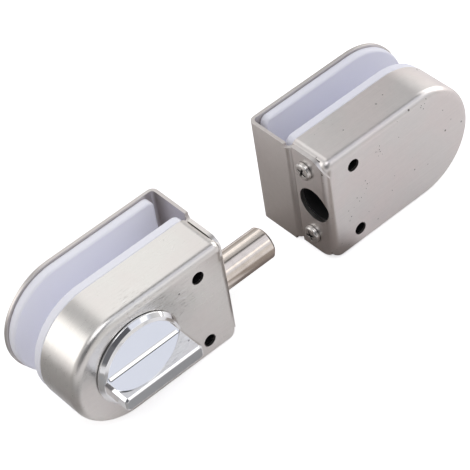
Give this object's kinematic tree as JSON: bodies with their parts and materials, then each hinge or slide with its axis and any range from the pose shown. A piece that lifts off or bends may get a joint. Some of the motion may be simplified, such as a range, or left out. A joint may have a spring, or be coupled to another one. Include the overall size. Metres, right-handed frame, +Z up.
{
  "type": "glass door lock",
  "caption": "Clamp-on lock for frameless glass doors, with a thumb-turn and its round bolt thrown, shown apart from its matching keeper.",
  "frame": {"origin": "on the bolt's axis, at the outer face of the lock's end wall", "axes": "+X along the bolt, the way it is thrown and towards the keeper; -Y towards the thumb-turn, with the glass behind the covers at +Y; +Z up, with both bodies standing on their long lower sides"},
  "size_m": [0.204, 0.0578, 0.052],
  "materials": {
    "cover": "satin, brushed along the body",
    "clamp": "satin sheet",
    "pad": "smooth white, matt",
    "plate": "plain cut sheet",
    "block": "die-cast, painted black",
    "black_screw": "black oxide",
    "screw": "bright nickel",
    "turn": "polished chrome plate",
    "bolt": "turned and polished",
    "brass": "machined",
    "inner": "zinc plated"
  },
  "bodies": {
    "fixed": {"lock_cover": "cover", "lock_bracket": "clamp", "lock_back_pad": "pad", "lock_block": "block", "lock_end_screws": "screw", "lock_block_screws": "inner", "bolt_cradle": "brass", "cradle_screws": "inner", "turn_bush": "brass", "stop_pins": "inner", "keeper_cover": "cover", "keeper_bracket": "clamp", "keeper_back_pad": "pad", "keeper_block": "block", "keeper_end_screws": "screw", "keeper_block_screws": "inner"},
    "turn": {"thumb_turn": "turn", "turn_spindle": "inner", "spring_washer": "inner", "crank": "inner", "crank_pin": "inner", "crank_roller": "brass"},
    "bolt": {"bolt": "bolt", "bolt_fork": "inner", "fork_screws": "inner"},
    "lock_clamp": {"lock_front_pad": "pad", "lock_pressure_plate": "plate", "lock_set_screws": "black_screw"},
    "keeper_clamp": {"keeper_front_pad": "pad", "keeper_pressure_plate": "plate", "keeper_set_screws": "black_screw"}
  },
  "joints": [
    {"name": "knob_turn", "type": "hinge", "parent": "fixed", "child": "turn", "pos_m": [-0.046, -0.0094, 0], "axis": [0, -1, 0], "range_deg": [0, 90]},
    {"name": "bolt_slide", "type": "slide", "parent": "fixed", "child": "bolt", "axis": [1, 0, 0], "range_m": [-0.025, 0]},
    {"name": "lock_pad_slide", "type": "slide", "parent": "fixed", "child": "lock_clamp", "axis": [0, 1, 0], "range_m": [0, 0.0027]},
    {"name": "keeper_pad_slide", "type": "slide", "parent": "fixed", "child": "keeper_clamp", "axis": [0, 1, 0], "range_m": [0, 0.0027]}
  ],
  "couplings": [
    {"joint": "bolt_slide", "follows": "knob_turn", "m_per_rad": -0.015915}
  ]
}
